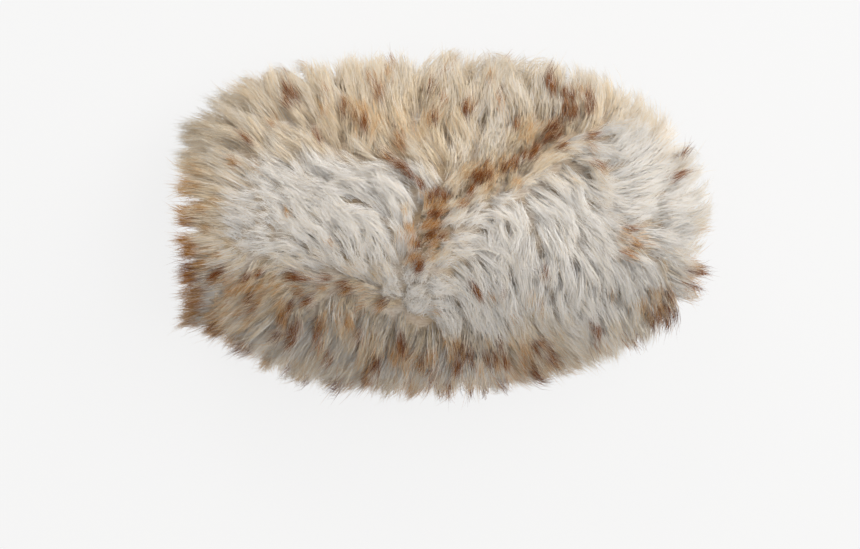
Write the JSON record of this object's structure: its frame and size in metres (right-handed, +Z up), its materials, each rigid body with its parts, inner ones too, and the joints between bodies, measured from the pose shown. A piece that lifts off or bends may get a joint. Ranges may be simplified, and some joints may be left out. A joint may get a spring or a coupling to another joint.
{
  "type": "wash mitt",
  "caption": "Long-pile fur wash mitt: back and palm panels whip-stitched round a loose lining, with a bound and elasticated mouth for the hand.",
  "frame": {"origin": "centre of the flat that the mitt rests on, below the middle of its length and width", "axes": "+X from the mouth to the closed fingertip end, +Y across the hand, +Z up, from the palm to the back of the hand"},
  "size_m": [0.276, 0.1809, 0.095],
  "materials": {
    "back_fur": "silky long pile, white at the roots and tan at the tips",
    "palm_fur": "silky long pile, white at the roots and tan at the tips, pressed flat where it rests",
    "backing": "matt knitted backing",
    "lining": "soft jersey knit",
    "binding": "woven tape",
    "casing": "woven tape, gathered",
    "elastic": "ribbed elastic webbing",
    "tan_thread": "twisted polyester thread",
    "white_thread": "twisted polyester thread",
    "dark_thread": "twisted polyester thread"
  },
  "bodies": {
    "root": {"back_pile": "back_fur", "palm_pile": "palm_fur", "back_panel": "backing", "palm_panel": "backing", "panel_stitches": "tan_thread", "lining_back": "lining", "lining_palm": "lining", "lining_stitches": "white_thread", "lining_tacks": "white_thread", "mouth_binding": "binding", "binding_stitches": "tan_thread", "elastic_casing": "casing", "casing_stitches": "tan_thread", "cuff_elastic": "elastic", "elastic_join_stitches": "dark_thread"}
  },
  "joints": []
}
